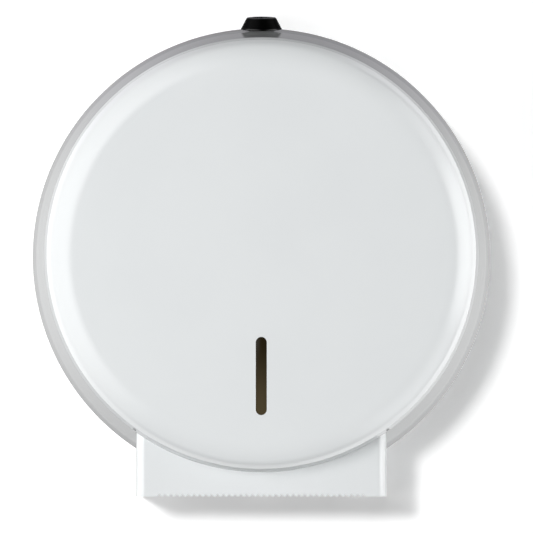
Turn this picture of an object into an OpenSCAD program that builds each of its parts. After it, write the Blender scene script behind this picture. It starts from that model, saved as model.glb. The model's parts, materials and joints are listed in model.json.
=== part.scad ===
// Wall dispenser for jumbo toilet rolls: a steel drum whose cover swings down on a hinge at its foot.
// The origin is on the wall plane at the drum's axis. +Z is up and the front faces -Y.
// "Depth" is the distance from the wall, so a point at depth d has y = -d.

/* [Drum] */
// Outer radius of the drum where it meets the wall
wall_r = 180; // [174:1:195]
// Depth of the front face
drum_depth = 132; // [128:1:145]
// Depth of the front pan, from the seam to the face
pan_depth = 28; // [26:1:32]
// Taper of the side band, in degrees
taper = 7.2; // [5:0.1:8]
// Thickness of the cover's sheet steel
sheet = 1.2; // [1:0.1:1.5]
// Radius of the pan's rounded edge next to its side wall
edge_r = 12; // [10:1:14]
// Larger radius that eases that edge into the flat face
crown_r = 34; // [26:1:40]
// Angle from the face at which the two radii meet
crown_turn = 28; // [20:1:32]
// Height of the step between the pan's side wall and its rim
lip_step = 1.8; // [1.6:0.2:4]
// Depth that the step takes
lip_run = 4.5; // [1.5:0.5:5]
// Lap of the pan's rim over the band
rim_lap = 5.5; // [4:0.5:7]
// Gap between the cover's back edge and the wall
wall_gap = 1; // [0.8:0.1:2]
// Width of the folded hem at the band's back edge
hem_w = 7; // [5:0.5:10]

/* [Viewing slot] */
// Width of the slot
slot_w = 8.5; // [6:0.5:12]
// Length of the slot
slot_len = 60; // [45:0.5:75]
// Distance from the slot's lower end to the pan's side wall
slot_margin = 41.6; // [34:0.1:48]
// Thickness of the smoked strip behind the slot
window_t = 1.5; // [1:0.1:2]
// Lap of the strip behind the face, all round the slot
window_lap = 4; // [3:0.5:5]
// Thickness of the frame that holds the strip
retainer_t = 1; // [0.8:0.1:1.5]
// Width of the frame's border outside the strip
retainer_border = 5; // [4:0.5:7]
// Length of the frame's ears beyond the strip
retainer_ear = 14; // [12:1:18]
// Radius of the weld studs
stud_r = 1.5; // [1.5:0.25:2]

/* [Chute] */
// Width across the chute
chute_w = 193.5; // [180:0.5:204]
// Drop of the chute's bottom edge below the drum's lowest point
chute_below = 7; // [6:0.5:24]
// Outer radius of the chute's two upright bends
chute_bend_r = 7; // [5:0.5:12]
// Plain length at each end of the tear edge
tear_end = 15; // [10:1:25]
// Distance between teeth
tooth_pitch = 4.5; // [3.5:0.1:6]
// Depth of a tooth
tooth_depth = 1.6; // [1:0.1:3]
// Height of the tips above the plain ends
tip_inset = 0.4; // [0.2:0.1:1]
// Width of the chute's edges welded inside the drum
weld_lap = 4; // [3:0.5:4.5]
// Gap between the chute and the notch in the band
notch_gap = 0.3; // [0.1:0.1:1]
// Radius of the relief hole at each corner of the notch
relief_r = 3; // [2:0.25:4]

/* [Hinge] */
// Diameter of the hinge rod
rod_d = 4; // [3:0.5:5]
// Depth of the rod's axis
hinge_depth = 5.2; // [5.2:0.1:7]
// Radius of the ears round the rod
ear_r = 4.5; // [4.2:0.1:5]
// Wall of the nylon bushes
bush_wall = 1; // [0.8:0.1:1.2]
// Thickness of a bush's flange
bush_flange_t = 0.8; // [0.6:0.1:1]
// Thickness of the hinge leaf
leaf_t = 1.5; // [1.2:0.1:1.5]
// Height of the leaf above the rod's axis
leaf_h = 24; // [18:1:30]
// Width of a knuckle
knuckle_w = 20; // [12:1:30]
// Thickness of the retaining clips
clip_t = 0.8; // [0.6:0.1:1]

/* [Back plate] */
// Thickness of the back plate
plate_t = 1.5; // [1.2:0.1:1.5]
// Gap between the back plate and the band's hem
plate_clear = 4.5; // [4:0.5:6]
// Height of the plate's turned rim
plate_rim_h = 10; // [8:1:14]
// Distance between wall screws, across
screw_dx = 160; // [140:1:170]
// Distance between wall screws, up
screw_dz = 160; // [140:1:170]
// Radius of the wall screw holes
screw_hole_r = 3.25; // [2.5:0.25:4]
// Place of the stiffening ribs each side of the axis
rib_x = 51; // [50:1:60]
// Width of a rib
rib_w = 14; // [10:1:16]
// Length of a rib
rib_len = 210; // [160:1:240]
// Height of a rib
rib_h = 3; // [2:0.5:4]

/* [Spindle] */
// Radius of the post
post_r = 12; // [10:0.5:14]
// Wall of the hollow post
post_wall = 3; // [2:0.5:4]
// Radius of the post's flange
flange_r = 40; // [34:1:42]
// Thickness of the post's flange
flange_t = 2; // [1.5:0.5:3]
// Radius of the screw in the post's end
hub_screw_r = 3; // [2.5:0.5:4]
// Thickness of the hub's washer
washer_t = 2; // [1.5:0.5:3]
// Radius of the hub's washer
washer_r = 17; // [16:0.5:20]

/* [Roll hub] */
// Outer radius of the hub, which the roll's core goes over
hub_r = 28; // [26:0.5:29]
// Length of the hub
hub_len = 94; // [88:1:96]
// Wall of the hub's sleeve
hub_wall = 2.2; // [1.8:0.1:3]
// Radius of the flange that stops the roll
stop_r = 42; // [38:1:50]
// Thickness of that flange
stop_t = 2.5; // [2:0.5:4]
// Length of the tapered nose
nose_len = 7; // [4:1:10]
// Number of fins between core and sleeve
fin_count = 8; // [4:1:12]
// Thickness of a fin
fin_t = 2; // [1.5:0.5:3]

/* [Lock] */
// Distance from the band's hem to the lock's nut, measured along the depth
lock_margin = 1; // [0.8:0.1:4]
// Radius of the lock's base
lock_base_r = 16; // [13:0.5:18]
// Radius of the lock's top
lock_top_r = 11.5; // [10.5:0.5:12.5]
// Height of the lock above the band
lock_h = 10; // [7:0.5:12]
// Radius of the lock's stem through the band
stem_r = 10; // [8:0.5:10]
// Length of the stem inside the drum
stem_len = 11.5; // [10:0.5:13]
// Radius of the barrel
barrel_r = 6.5; // [5:0.5:7]
// Width of the key slot
key_w = 3.2; // [2:0.2:4]
// Length of the key slot
key_len = 9.4; // [7:0.2:9.6]
// Depth of the key slot
key_depth = 6; // [4:1:8]
// Thickness of the cam
cam_t = 2; // [1.5:0.5:2.5]
// Reach of the cam from its axis
cam_reach = 16; // [14.5:0.5:16.5]
// Width of the cam
cam_w = 9; // [7:0.5:10]
// Width across the lock nut's flats
nut_af = 24; // [23:0.5:27]
// Thickness of the lock nut
nut_t = 4; // [3:0.5:5]

/* [Latch striker] */
// Thickness of the striker
striker_t = 1.5; // [1.2:0.1:2.5]
// Gap between the cam and the striker's lip when locked
striker_gap = 0.5; // [0.3:0.1:1]
// Overlap of the cam and the lip
striker_grip = 5.5; // [4:0.5:5.5]
// Height of the striker's lip
lip_h = 10; // [8:1:14]
// Width of the striker's foot
striker_foot = 13; // [12:0.5:14]

/* [Fixings] */
// Shank radius of the rivets
rivet_r = 1.6; // [1.2:0.1:2]
// Head radius of the rivets
rivet_head_r = 3.2; // [2.8:0.1:4]
// Head height of the rivets
rivet_head_h = 1.6; // [1:0.1:2]

/* [Hidden] */
// Radial clearance of what turns
run_gap = 0.06;
// Radial clearance of what is fixed in a hole
fix_gap = 0.05;
// Gap between curved faces of the cover that lie on each other
seat_gap = 0.15;
// Extra length of a cutter past the face that it cuts
over = 1;
// Gap between parts that turn past each other end to end
end_play = 0.2;

slope = tan(taper);
seam_depth = drum_depth - pan_depth;
chute_drop = wall_r + chute_below;
lock_depth = wall_gap + hem_w + nut_af / 2 + lock_margin;
rim_top = seam_depth + rim_lap;
step_top = rim_top + lip_run;
band_front = rim_top - 0.5;
pan_wall_r = wall_r - slope * rim_top + sheet - lip_step;
face_in = drum_depth - sheet;

chute_front = seam_depth - seat_gap;
chute_back = hinge_depth - ear_r;
weld_r = pan_wall_r - sheet - seat_gap;
tooth_count = floor((chute_w - 2 * tear_end) / tooth_pitch);

rod_r = rod_d / 2;
hinge_z = -chute_drop + ear_r;
bush_r = rod_r + run_gap + bush_wall;
knuckle_r = rod_r + leaf_t;
tongue_w = chute_w - 2 * sheet - 14;
tongue_foot = hinge_z + knuckle_r + 1;
leaf_w = tongue_w - 4;
clip_x = chute_w / 2 - sheet - bush_flange_t - end_play - clip_t;
groove_r = rod_r - 0.4;
leaf_rivet_z = hinge_z + leaf_h - 7;
knuckle_x = [-(leaf_w - knuckle_w) / 2, 0, (leaf_w - knuckle_w) / 2];
leaf_rivet_x = [knuckle_x[0], knuckle_x[0] / 2.6, knuckle_x[2] / 2.6, knuckle_x[2]];

plate_r = wall_r - slope * (wall_gap + hem_w) - 2 * sheet - plate_clear;
flange_rivet_r = (flange_r + post_r) / 2 + 5;

hub_back = plate_t + flange_t + 0.5;
hub_front = hub_back + hub_len;
post_front = hub_front + 2 * end_play;
stop_back = plate_t + flange_t + rivet_head_h + 0.5;
core_r = post_r + run_gap + 3;

slot_z = -(pan_wall_r - slot_margin - slot_len / 2);
window_w = slot_w + 2 * window_lap;
window_len = slot_len + 2 * window_lap;
retainer_w = window_w + 2 * retainer_border;
retainer_len = window_len + 2 * retainer_ear;
window_back = face_in - window_t;
retainer_back = window_back - retainer_t;
stud_dz = window_len / 2 + retainer_ear / 2;

cam_u = -stem_len - end_play - cam_t / 2;
cam_depth = lock_depth + cam_u * sin(taper);
cam_z = wall_r - slope * lock_depth + cam_u * cos(taper);
lip_back = cam_depth + cam_w / 2 + striker_gap;
lip_x = cam_reach - striker_grip;
web_x = cam_reach + 8;
lip_top = cam_z + 2;
striker_foot_top = cam_z - 4;
striker_foot_bottom = lip_top - 20;

white = "gainsboro";
steel = "silver";

// Helpers that place flat drawings in the drum

// Outer radius of the band at a depth
function band_r(depth) = wall_r - slope * depth;

// Upright plate between two depths, drawn as seen from the front
module plate_at(depth, thickness) {
    translate([0, -depth, 0]) rotate([90, 0, 0]) linear_extrude(thickness) children();
}

// Solid turned about the drum's axis, drawn as radius against depth
module turned() {
    rotate([90, 0, 0]) rotate_extrude($fn = 120) children();
}

// Bar along X, drawn as depth against height
module along_x(x, length) {
    translate([x, 0, 0]) rotate([90, 0, 90]) linear_extrude(length) mirror([1, 0]) children();
}

// Upright bar, drawn from above as x against depth
module upright(bottom, height) {
    translate([0, 0, bottom]) mirror([0, 1, 0]) linear_extrude(height) children();
}

// Slot shape with round ends, long side up
module obround(width, length) {
    square([width, length - width], center = true);
    for (side = [-1, 1]) translate([0, side * (length - width) / 2]) circle(width / 2, $fn = 48);
}

// Low dome, flat side down
module dome(r, h) {
    ball_r = (r * r + h * h) / (2 * h);
    rotate_extrude($fn = 32) intersection() {
        translate([0, h - ball_r]) circle(ball_r, $fn = 96);
        square([r, h]);
    }
}

// Round-headed rivet standing on its tail at the wall side, with its head at a depth
module rivet(x, z, tail, seat) {
    translate([x, -tail, z]) rotate([90, 0, 0]) {
        cylinder(h = seat - tail, r = rivet_r, $fn = 32);
        translate([0, 0, seat - tail]) dome(rivet_head_r, rivet_head_h);
    }
}

// Hole for a rivet or screw, along the drum's axis
module hole_at(x, z, r, depth, length) {
    translate([x, -depth + over, z]) rotate([90, 0, 0]) cylinder(h = length + 2 * over, r = r, $fn = 32);
}

// Frame of the lock: up is out of the band, and +Y leans towards the wall
module at_lock() {
    translate([0, -lock_depth, band_r(lock_depth)]) rotate([taper, 0, 0]) children();
}

// Frame of the hinge rod, with the rod's axis along the drawing's upright
module on_hinge(x) {
    translate([x, -hinge_depth, hinge_z]) rotate([0, 90, 0]) children();
}

// Fixed frame on the wall

module back_plate() {
    color(white) difference() {
        union() {
            plate_at(0, plate_t) {
                circle(plate_r, $fn = 120);
                translate([-tongue_w / 2, tongue_foot]) square([tongue_w, -tongue_foot - plate_r / 2]);
            }
            difference() {
                turned() translate([plate_r - plate_t, 0]) square([plate_t, plate_rim_h]);
                rim_gap = tongue_w + 8;
                translate([-rim_gap / 2, -plate_rim_h - over, -plate_r - over])
                    cube([rim_gap, plate_rim_h + over - plate_t, plate_r]);
            }
            for (side = [-1, 1]) plate_at(0, plate_t + rib_h)
                translate([side * rib_x, 0]) obround(rib_w, rib_len);
        }
        for (side = [-1, 1]) plate_at(-over, rib_h + over)
            translate([side * rib_x, 0]) obround(rib_w - 2 * plate_t, rib_len - 2 * plate_t);
        for (x = [-1, 1], z = [-1, 1])
            hole_at(x * screw_dx / 2, z * screw_dz / 2, screw_hole_r, 0, plate_t);
        for (x = leaf_rivet_x) hole_at(x, leaf_rivet_z, rivet_r + fix_gap, 0, plate_t);
        for (turn = [45 : 90 : 315])
            hole_at(flange_rivet_r * cos(turn), flange_rivet_r * sin(turn), rivet_r + fix_gap, 0, plate_t);
        striker_holes(0);
    }
}

module hinge_leaf() {
    color(steel) difference() {
        union() {
            along_x(-leaf_w / 2, leaf_w)
                translate([plate_t, hinge_z + knuckle_r + 1]) square([leaf_t, leaf_h - knuckle_r - 1]);
            for (x = knuckle_x) along_x(x - knuckle_w / 2, knuckle_w) difference() {
                union() {
                    translate([plate_t, hinge_z]) square([leaf_t, leaf_h]);
                    translate([hinge_depth, hinge_z]) circle(knuckle_r, $fn = 48);
                }
                translate([hinge_depth, hinge_z]) circle(rod_r + fix_gap, $fn = 48);
            }
        }
        for (x = leaf_rivet_x) hole_at(x, leaf_rivet_z, rivet_r + fix_gap, plate_t, leaf_t);
    }
}

module hinge_rivets() {
    color(steel) for (x = leaf_rivet_x) rivet(x, leaf_rivet_z, 0, plate_t + leaf_t);
}

module hinge_rod() {
    rod_len = chute_w - 0.4;
    groove_w = clip_t + 0.1;
    color(steel) difference() {
        on_hinge(-rod_len / 2) cylinder(h = rod_len, r = rod_r, $fn = 48);
        for (x = [-clip_x - clip_t, clip_x]) on_hinge(x - 0.05) difference() {
            cylinder(h = groove_w, r = rod_r + over, $fn = 48);
            translate([0, 0, -over]) cylinder(h = groove_w + 2 * over, r = groove_r, $fn = 48);
        }
    }
}

// Open rings snapped into the rod's grooves
module rod_clips() {
    color(steel) for (x = [-clip_x - clip_t, clip_x]) on_hinge(x) linear_extrude(clip_t) difference() {
        circle(rod_r + 2, $fn = 48);
        circle(groove_r + fix_gap, $fn = 48);
        translate([0, -groove_r * 0.8]) square([rod_r + 3, groove_r * 1.6]);
    }
}

module spindle_post() {
    color(steel) difference() {
        turned() {
            translate([0, plate_t]) square([flange_r, flange_t]);
            translate([0, plate_t]) square([post_r, post_front - plate_t]);
        }
        turned() translate([0, plate_t - over]) square([post_r - post_wall, post_front - plate_t - 20]);
        hole_at(0, 0, hub_screw_r + fix_gap, post_front - 25, 25);
        for (turn = [45 : 90 : 315])
            hole_at(flange_rivet_r * cos(turn), flange_rivet_r * sin(turn), rivet_r + fix_gap, plate_t, flange_t);
    }
}

module spindle_rivets() {
    color(steel) for (turn = [45 : 90 : 315])
        rivet(flange_rivet_r * cos(turn), flange_rivet_r * sin(turn), 0, plate_t + flange_t);
}

module hub_washer() {
    color(steel) turned() translate([hub_screw_r + 0.2, post_front])
        square([washer_r - hub_screw_r - 0.2, washer_t]);
}

module hub_screw() {
    head_seat = post_front + washer_t;
    head_h = hub_screw_r * 1.1;
    color(steel) difference() {
        turned() {
            translate([0, head_seat]) square([hub_screw_r * 1.9, head_h - 0.6]);
            polygon([[0, head_seat], [hub_screw_r * 1.9, head_seat + head_h - 0.6],
                     [hub_screw_r * 1.9 - 0.6, head_seat + head_h], [0, head_seat + head_h]]);
            translate([0, head_seat - 18]) square([hub_screw_r, 18]);
        }
        translate([0, -head_seat - head_h + 2, 0]) rotate([90, 0, 0])
            cylinder(h = 2 + over, r = hub_screw_r * 0.95, $fn = 6);
    }
}

// Rivet places in the striker's foot, as holes through the sheet at a depth
module striker_holes(depth) {
    foot_x = web_x + striker_foot / 2 + striker_t / 2;
    for (side = [-1, 1])
        hole_at(foot_x, (striker_foot_top + striker_foot_bottom) / 2 + side * 3.6,
                rivet_r + fix_gap, depth, striker_t);
}

// Bracket with a foot on the back plate, a web towards the front and a lip before the cam
module latch_striker() {
    color(steel) difference() {
        union() {
            translate([web_x, -plate_t - striker_t, striker_foot_bottom])
                cube([striker_foot, striker_t, striker_foot_top - striker_foot_bottom]);
            translate([web_x, -lip_back - striker_t, lip_top - lip_h])
                cube([striker_t, lip_back + striker_t - plate_t, lip_h]);
            translate([web_x, -plate_t - 8, striker_foot_bottom])
                cube([striker_t, 8, lip_top - striker_foot_bottom]);
            translate([lip_x, -lip_back - striker_t, lip_top - lip_h])
                cube([web_x + striker_t - lip_x, striker_t, lip_h]);
        }
        striker_holes(plate_t);
    }
}

module striker_rivets() {
    foot_x = web_x + striker_foot / 2 + striker_t / 2;
    color(steel) for (side = [-1, 1])
        rivet(foot_x, (striker_foot_top + striker_foot_bottom) / 2 + side * 3.6, 0, plate_t + striker_t);
}

// Swinging cover

// Half section of a dish, closed from the axis out. Its edge has two radii that meet smoothly:
// a tight one at the side wall and a large one that runs out into the flat face.
module dish_section(r, top, inset, foot) {
    tight = edge_r - inset;
    large = crown_r - inset;
    tight_x = r - tight;
    tight_y = top - large + (large - tight) * cos(crown_turn);
    large_x = tight_x - (large - tight) * sin(crown_turn);
    large_y = top - large;
    far = 2 * crown_r;
    translate([0, foot]) square([large_x, top - foot]);
    translate([0, foot]) square([r, tight_y - foot]);
    translate([tight_x, tight_y]) circle(tight, $fn = 64);
    intersection() {
        translate([large_x, large_y]) circle(large, $fn = 128);
        polygon([[large_x - edge_r, foot], [tight_x, foot], [tight_x, tight_y],
                 [large_x + far * sin(crown_turn), large_y + far * cos(crown_turn)],
                 [large_x - edge_r, large_y + far]]);
    }
}

// Half outline of the pan: flat face, rounded edge, short side wall, sloped step and rim
module pan_outline(wall, rim, top, inset) {
    dish_section(wall, top, inset, step_top);
    polygon([[0, seam_depth], [band_r(seam_depth) + rim, seam_depth], [band_r(rim_top) + rim, rim_top],
             [wall, step_top], [0, step_top]]);
}

// Pressed front, whose rim laps the band
module front_pan() {
    color(white) difference() {
        turned() difference() {
            pan_outline(pan_wall_r, sheet, drum_depth, 0);
            pan_outline(pan_wall_r - sheet, seat_gap, face_in, sheet);
        }
        plate_at(face_in - over, sheet + 2 * over) translate([0, slot_z]) obround(slot_w, slot_len);
    }
}

// Rolled conical wall with a folded hem at the wall and a notch for the chute
module side_band() {
    hem_top = wall_gap + hem_w;
    notch_w = chute_w + 2 * notch_gap;
    corner_r = band_r(seam_depth);
    corner_turn = 90 + acos(notch_w / 2 / corner_r);
    color(white) difference() {
        turned() polygon([[band_r(wall_gap), wall_gap], [band_r(band_front), band_front],
                          [band_r(band_front) - sheet, band_front], [band_r(hem_top) - sheet, hem_top],
                          [band_r(hem_top) - 2 * sheet, hem_top], [band_r(wall_gap) - 2 * sheet, wall_gap]]);
        translate([-notch_w / 2, -drum_depth, -wall_r - over]) cube([notch_w, drum_depth + over, wall_r]);
        for (side = [-1, 1])
            translate([0, -seam_depth + 2, 0]) rotate([0, side * corner_turn, 0])
                translate([0, 0, corner_r - 10]) cylinder(h = 20, r = relief_r, $fn = 48);
        at_lock() translate([0, 0, -over - 4]) cylinder(h = 10, r = stem_r + 0.2, $fn = 48);
    }
}

// Plan of the chute: open at the back, with a round bend at each front corner
module chute_plan(inset) {
    half = chute_w / 2 - inset;
    bend = chute_bend_r - inset;
    front = chute_front - inset;
    translate([-half, chute_back - inset]) square([2 * half, front - bend - chute_back + inset]);
    translate([-half + bend, chute_back - inset]) square([2 * (half - bend), front - chute_back + inset]);
    for (side = [-1, 1]) translate([side * (half - bend), front - bend]) circle(bend, $fn = 64);
}

// Cutter for the saw-toothed tear edge, drawn as seen from the front
module tear_teeth() {
    left = -tooth_count * tooth_pitch / 2;
    tip = -chute_drop + tip_inset;
    plate_at(chute_front - sheet - over, sheet + 2 * over) polygon([
        [left, -chute_drop - over],
        for (i = [0 : tooth_count - 1]) each [
            [left + i * tooth_pitch, tip],
            [left + (i + 0.5) * tooth_pitch, tip + tooth_depth]],
        [left + tooth_count * tooth_pitch, tip],
        [left + tooth_count * tooth_pitch, -chute_drop - over]]);
}

// Bent paper outlet: its edges reach into the drum, where they are welded
module chute() {
    wall_top = -wall_r / 2;
    function edge_r_at(depth) = band_r(depth) - sheet - weld_lap;
    flange_w = chute_w - 26;
    color(white) difference() {
        union() {
            difference() {
                upright(-chute_drop, chute_drop + wall_top) difference() {
                    chute_plan(0);
                    chute_plan(sheet);
                }
                turned() polygon([[0, -over], [edge_r_at(-over), -over],
                                  [edge_r_at(chute_front - sheet), chute_front - sheet],
                                  [weld_r - sheet, chute_front - sheet],
                                  [weld_r - sheet, chute_front + over], [0, chute_front + over]]);
            }
            intersection() {
                turned() translate([weld_r - sheet, chute_front - sheet])
                    square([sheet, step_top + 3 - chute_front + sheet]);
                translate([-flange_w / 2, -drum_depth, -wall_r]) cube([flange_w, drum_depth, wall_r]);
            }
        }
        difference() {
            translate([-chute_w, -hinge_depth, -chute_drop - over])
                cube([2 * chute_w, hinge_depth + over, ear_r + over]);
            on_hinge(-chute_w) cylinder(h = 2 * chute_w, r = ear_r, $fn = 64);
        }
        on_hinge(-chute_w) cylinder(h = 2 * chute_w, r = bush_r + fix_gap, $fn = 48);
        tear_teeth();
    }
}

module hinge_bushes() {
    color("ivory") for (side = [0, 1]) mirror([side, 0, 0]) difference() {
        union() {
            on_hinge(chute_w / 2 - sheet - bush_flange_t) cylinder(h = sheet + bush_flange_t, r = bush_r, $fn = 48);
            on_hinge(chute_w / 2 - sheet - bush_flange_t) cylinder(h = bush_flange_t, r = bush_r + 1, $fn = 48);
        }
        on_hinge(chute_w / 2 - 10) cylinder(h = 20, r = rod_r + run_gap, $fn = 48);
    }
}

module view_window() {
    color([0.25, 0.2, 0.14]) plate_at(window_back, window_t) translate([0, slot_z]) obround(window_w, window_len);
}

module window_retainer() {
    color(steel) plate_at(retainer_back, retainer_t) translate([0, slot_z]) difference() {
        obround(retainer_w, retainer_len);
        obround(slot_w + 2, slot_len + 2);
        for (side = [-1, 1]) translate([0, side * stud_dz]) circle(stud_r + fix_gap, $fn = 32);
    }
}

module window_studs() {
    stud_len = window_t + retainer_t + 3;
    color(steel) for (side = [-1, 1])
        plate_at(face_in - stud_len, stud_len) translate([0, slot_z + side * stud_dz]) circle(stud_r, $fn = 32);
}

module window_nuts() {
    color(steel) for (side = [-1, 1])
        plate_at(retainer_back - 1, 1) translate([0, slot_z + side * stud_dz]) difference() {
            circle(stud_r * 3, $fn = 48);
            circle(stud_r + fix_gap, $fn = 32);
        }
}

// Black lock body: a round base that stands clear of the curved band, and a tapered head
module lock_housing() {
    base_foot = 0.05;
    color([0.05, 0.05, 0.05]) at_lock() rotate_extrude($fn = 96) polygon([
        [barrel_r + run_gap, -stem_len], [stem_r, -stem_len], [stem_r, base_foot],
        [lock_base_r - 4.2, base_foot], [lock_base_r, 0.8], [lock_base_r, 1.5],
        [lock_base_r - 0.5, 2.1], [lock_top_r + 0.3, lock_h - 0.8], [lock_top_r - 0.5, lock_h],
        [barrel_r + run_gap, lock_h]]);
}

module lock_nut() {
    corner_r = nut_af / 2 / cos(30);
    inside_r = band_r(lock_depth) - sheet;
    seat = sheet + inside_r - sqrt(inside_r * inside_r - corner_r * corner_r) + seat_gap;
    color(steel) at_lock() translate([0, 0, -seat - nut_t]) difference() {
        cylinder(h = nut_t, r = corner_r, $fn = 6);
        translate([0, 0, -over]) cylinder(h = nut_t + 2 * over, r = stem_r + fix_gap, $fn = 64);
    }
}

// Turning barrel with a key slot on top and a square stub for the cam
module lock_barrel() {
    barrel_foot = -stem_len - end_play;
    stub = barrel_r;
    color([0.12, 0.12, 0.12]) at_lock() difference() {
        union() {
            translate([0, 0, barrel_foot]) rotate_extrude($fn = 64) polygon([
                [0, 0], [barrel_r, 0], [barrel_r, lock_h - barrel_foot - 0.9],
                [barrel_r - 0.5, lock_h - barrel_foot - 0.4], [0, lock_h - barrel_foot - 0.4]]);
            translate([-stub / 2, -stub / 2, barrel_foot - cam_t]) cube([stub, stub, cam_t + over]);
        }
        translate([0, 0, lock_h - key_depth]) linear_extrude(key_depth + over) obround(key_w, key_len);
        translate([0, 0, barrel_foot - cam_t - over]) cylinder(h = 9, r = 2 + fix_gap, $fn = 32);
    }
}

// Cam arm, at rest towards the wall and clear of the striker
module lock_cam() {
    stub = barrel_r;
    color(steel) at_lock() translate([0, 0, cam_u - cam_t / 2]) linear_extrude(cam_t) difference() {
        union() {
            circle(barrel_r + 0.7, $fn = 64);
            translate([-cam_w / 2, 0]) square([cam_w, cam_reach - cam_w / 2]);
            translate([0, cam_reach - cam_w / 2]) circle(cam_w / 2, $fn = 48);
        }
        square(stub + 2 * fix_gap, center = true);
    }
}

module cam_screw() {
    head_top = cam_u - cam_t / 2;
    color(steel) at_lock() {
        translate([0, 0, head_top]) mirror([0, 0, 1]) dome(5, 2.2);
        translate([0, 0, head_top - 0.5]) cylinder(h = 7.5, r = 2, $fn = 32);
    }
}

// Hub that turns on the post: core, web, fins and a sleeve with a stop flange and a tapered nose
module roll_hub() {
    sleeve_in = hub_r - hub_wall;
    nose_back = hub_front - nose_len;
    fin_back = stop_back + stop_t / 2;
    fin_front = nose_back - 1;
    color("darkgray") difference() {
        union() {
            turned() {
                translate([post_r, hub_back]) square([core_r - post_r, hub_len]);
                translate([post_r, stop_back]) square([sleeve_in - post_r + 1, stop_t]);
                polygon([[sleeve_in, stop_back], [stop_r - 0.6, stop_back], [stop_r, stop_back + 0.6],
                         [stop_r, stop_back + stop_t - 0.6], [stop_r - 0.6, stop_back + stop_t],
                         [hub_r, stop_back + stop_t], [hub_r, nose_back], [hub_r - 1.6, hub_front],
                         [sleeve_in - 1, hub_front], [sleeve_in, nose_back]]);
            }
            for (i = [0 : fin_count - 1]) rotate([0, i * 360 / fin_count, 0])
                translate([core_r - 1, -fin_front, -fin_t / 2])
                    cube([sleeve_in - core_r + 1.5, fin_front - fin_back, fin_t]);
        }
        turned() translate([0, hub_back - over]) square([post_r + run_gap, hub_len + 2 * over]);
    }
}

back_plate();
hinge_leaf();
hinge_rivets();
hinge_rod();
rod_clips();
spindle_post();
spindle_rivets();
hub_washer();
hub_screw();
latch_striker();
striker_rivets();
front_pan();
side_band();
chute();
hinge_bushes();
view_window();
window_retainer();
window_studs();
window_nuts();
lock_housing();
lock_nut();
lock_barrel();
lock_cam();
cam_screw();
roll_hub();
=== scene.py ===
"""Wall dispenser for jumbo toilet rolls: the visible pieces, their finishes and the studio.

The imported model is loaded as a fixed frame. The cover with its chute, the lock and the viewing
strip are modelled anew with finer surfaces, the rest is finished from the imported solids, and
every surface gets a procedural material. Sizes are in metres. The origin is on the wall
at the drum's axis, +Z is up and the front faces -Y. "Depth" is the distance from the wall.
"""

from __future__ import annotations

import json
import logging
import math
from dataclasses import dataclass, field
from enum import Enum
from typing import Callable, Sequence

import bmesh
import bpy
from mathutils import Matrix, Vector

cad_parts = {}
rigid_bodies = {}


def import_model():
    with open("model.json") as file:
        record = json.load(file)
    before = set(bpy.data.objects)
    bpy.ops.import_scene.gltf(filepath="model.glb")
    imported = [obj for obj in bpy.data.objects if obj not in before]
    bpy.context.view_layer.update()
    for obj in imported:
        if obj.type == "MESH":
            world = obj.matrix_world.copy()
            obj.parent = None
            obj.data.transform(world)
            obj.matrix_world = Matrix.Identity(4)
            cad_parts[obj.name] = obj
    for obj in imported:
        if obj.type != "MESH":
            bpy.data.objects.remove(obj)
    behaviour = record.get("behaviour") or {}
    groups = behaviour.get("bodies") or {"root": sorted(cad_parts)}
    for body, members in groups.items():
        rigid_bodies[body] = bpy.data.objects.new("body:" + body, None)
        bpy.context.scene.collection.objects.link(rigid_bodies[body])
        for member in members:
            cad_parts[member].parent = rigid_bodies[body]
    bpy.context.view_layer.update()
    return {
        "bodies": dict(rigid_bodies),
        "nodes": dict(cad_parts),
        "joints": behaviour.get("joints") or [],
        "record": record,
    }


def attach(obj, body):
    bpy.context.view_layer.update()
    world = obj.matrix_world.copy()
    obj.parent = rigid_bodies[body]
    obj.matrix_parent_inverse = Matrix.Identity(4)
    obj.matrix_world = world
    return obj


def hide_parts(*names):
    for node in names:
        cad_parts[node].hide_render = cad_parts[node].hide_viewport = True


logging.basicConfig(level=logging.INFO, format="%(message)s")
LOG = logging.getLogger("dispenser")

MM = 0.001
TURN = 2 * math.pi
TAPER = math.radians(7.2)
WALL_R = 180.0
MERGE_GAP = 1e-6
CUT_GAP = 2e-6
FLAT_ANGLE = math.radians(0.2)

Piece = bpy.types.Object
Point = tuple[float, float]
Colour = tuple[float, float, float, float]


class Body(str, Enum):
    """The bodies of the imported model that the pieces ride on."""

    WALL_FRAME = "wall_frame"
    COVER = "cover"
    LOCK = "lock"
    HUB = "hub"


class Slot(str, Enum):
    """The record's material slots."""

    POWDER_COAT = "white_powder_coat"
    ZINC = "zinc_plated_steel"
    BLACK = "black_plastic"
    SMOKED = "smoked_plastic"
    NYLON = "nylon"
    HUB_GREY = "grey_plastic"


class Axis(Enum):
    """The axis that a cylinder is turned to."""

    X = (0.0, math.pi / 2, 0.0)
    Y = (math.pi / 2, 0.0, 0.0)
    Z = (0.0, 0.0, 0.0)


# Shader building


def operator(operation: str, swapped: bool = False) -> Callable[[Wire, object], Wire]:
    """Makes a method of Wire that adds a Math node.

    Args:
        operation: The node's operation.
        swapped: Puts the other term first.

    Returns:
        The method.
    """

    def method(wire: Wire, other: object) -> Wire:
        """Adds the node on a wire and another term."""
        terms = (other, wire) if swapped else (wire, other)
        return wire.tree.add("ShaderNodeMath", dict(enumerate(terms)), {"operation": operation})

    return method


class Wire:
    """A shader socket on which arithmetic adds Math nodes."""

    __add__ = __radd__ = operator("ADD")
    __mul__ = operator("MULTIPLY")
    __sub__ = operator("SUBTRACT")
    __rsub__ = operator("SUBTRACT", swapped=True)
    __truediv__ = operator("DIVIDE")
    __pow__ = operator("POWER")
    highest = operator("MAXIMUM")
    above = operator("GREATER_THAN")

    def __init__(self, tree: ShaderTree, socket: bpy.types.NodeSocket) -> None:
        """Wraps a socket of a tree."""
        self.tree = tree
        self.socket = socket


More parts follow.
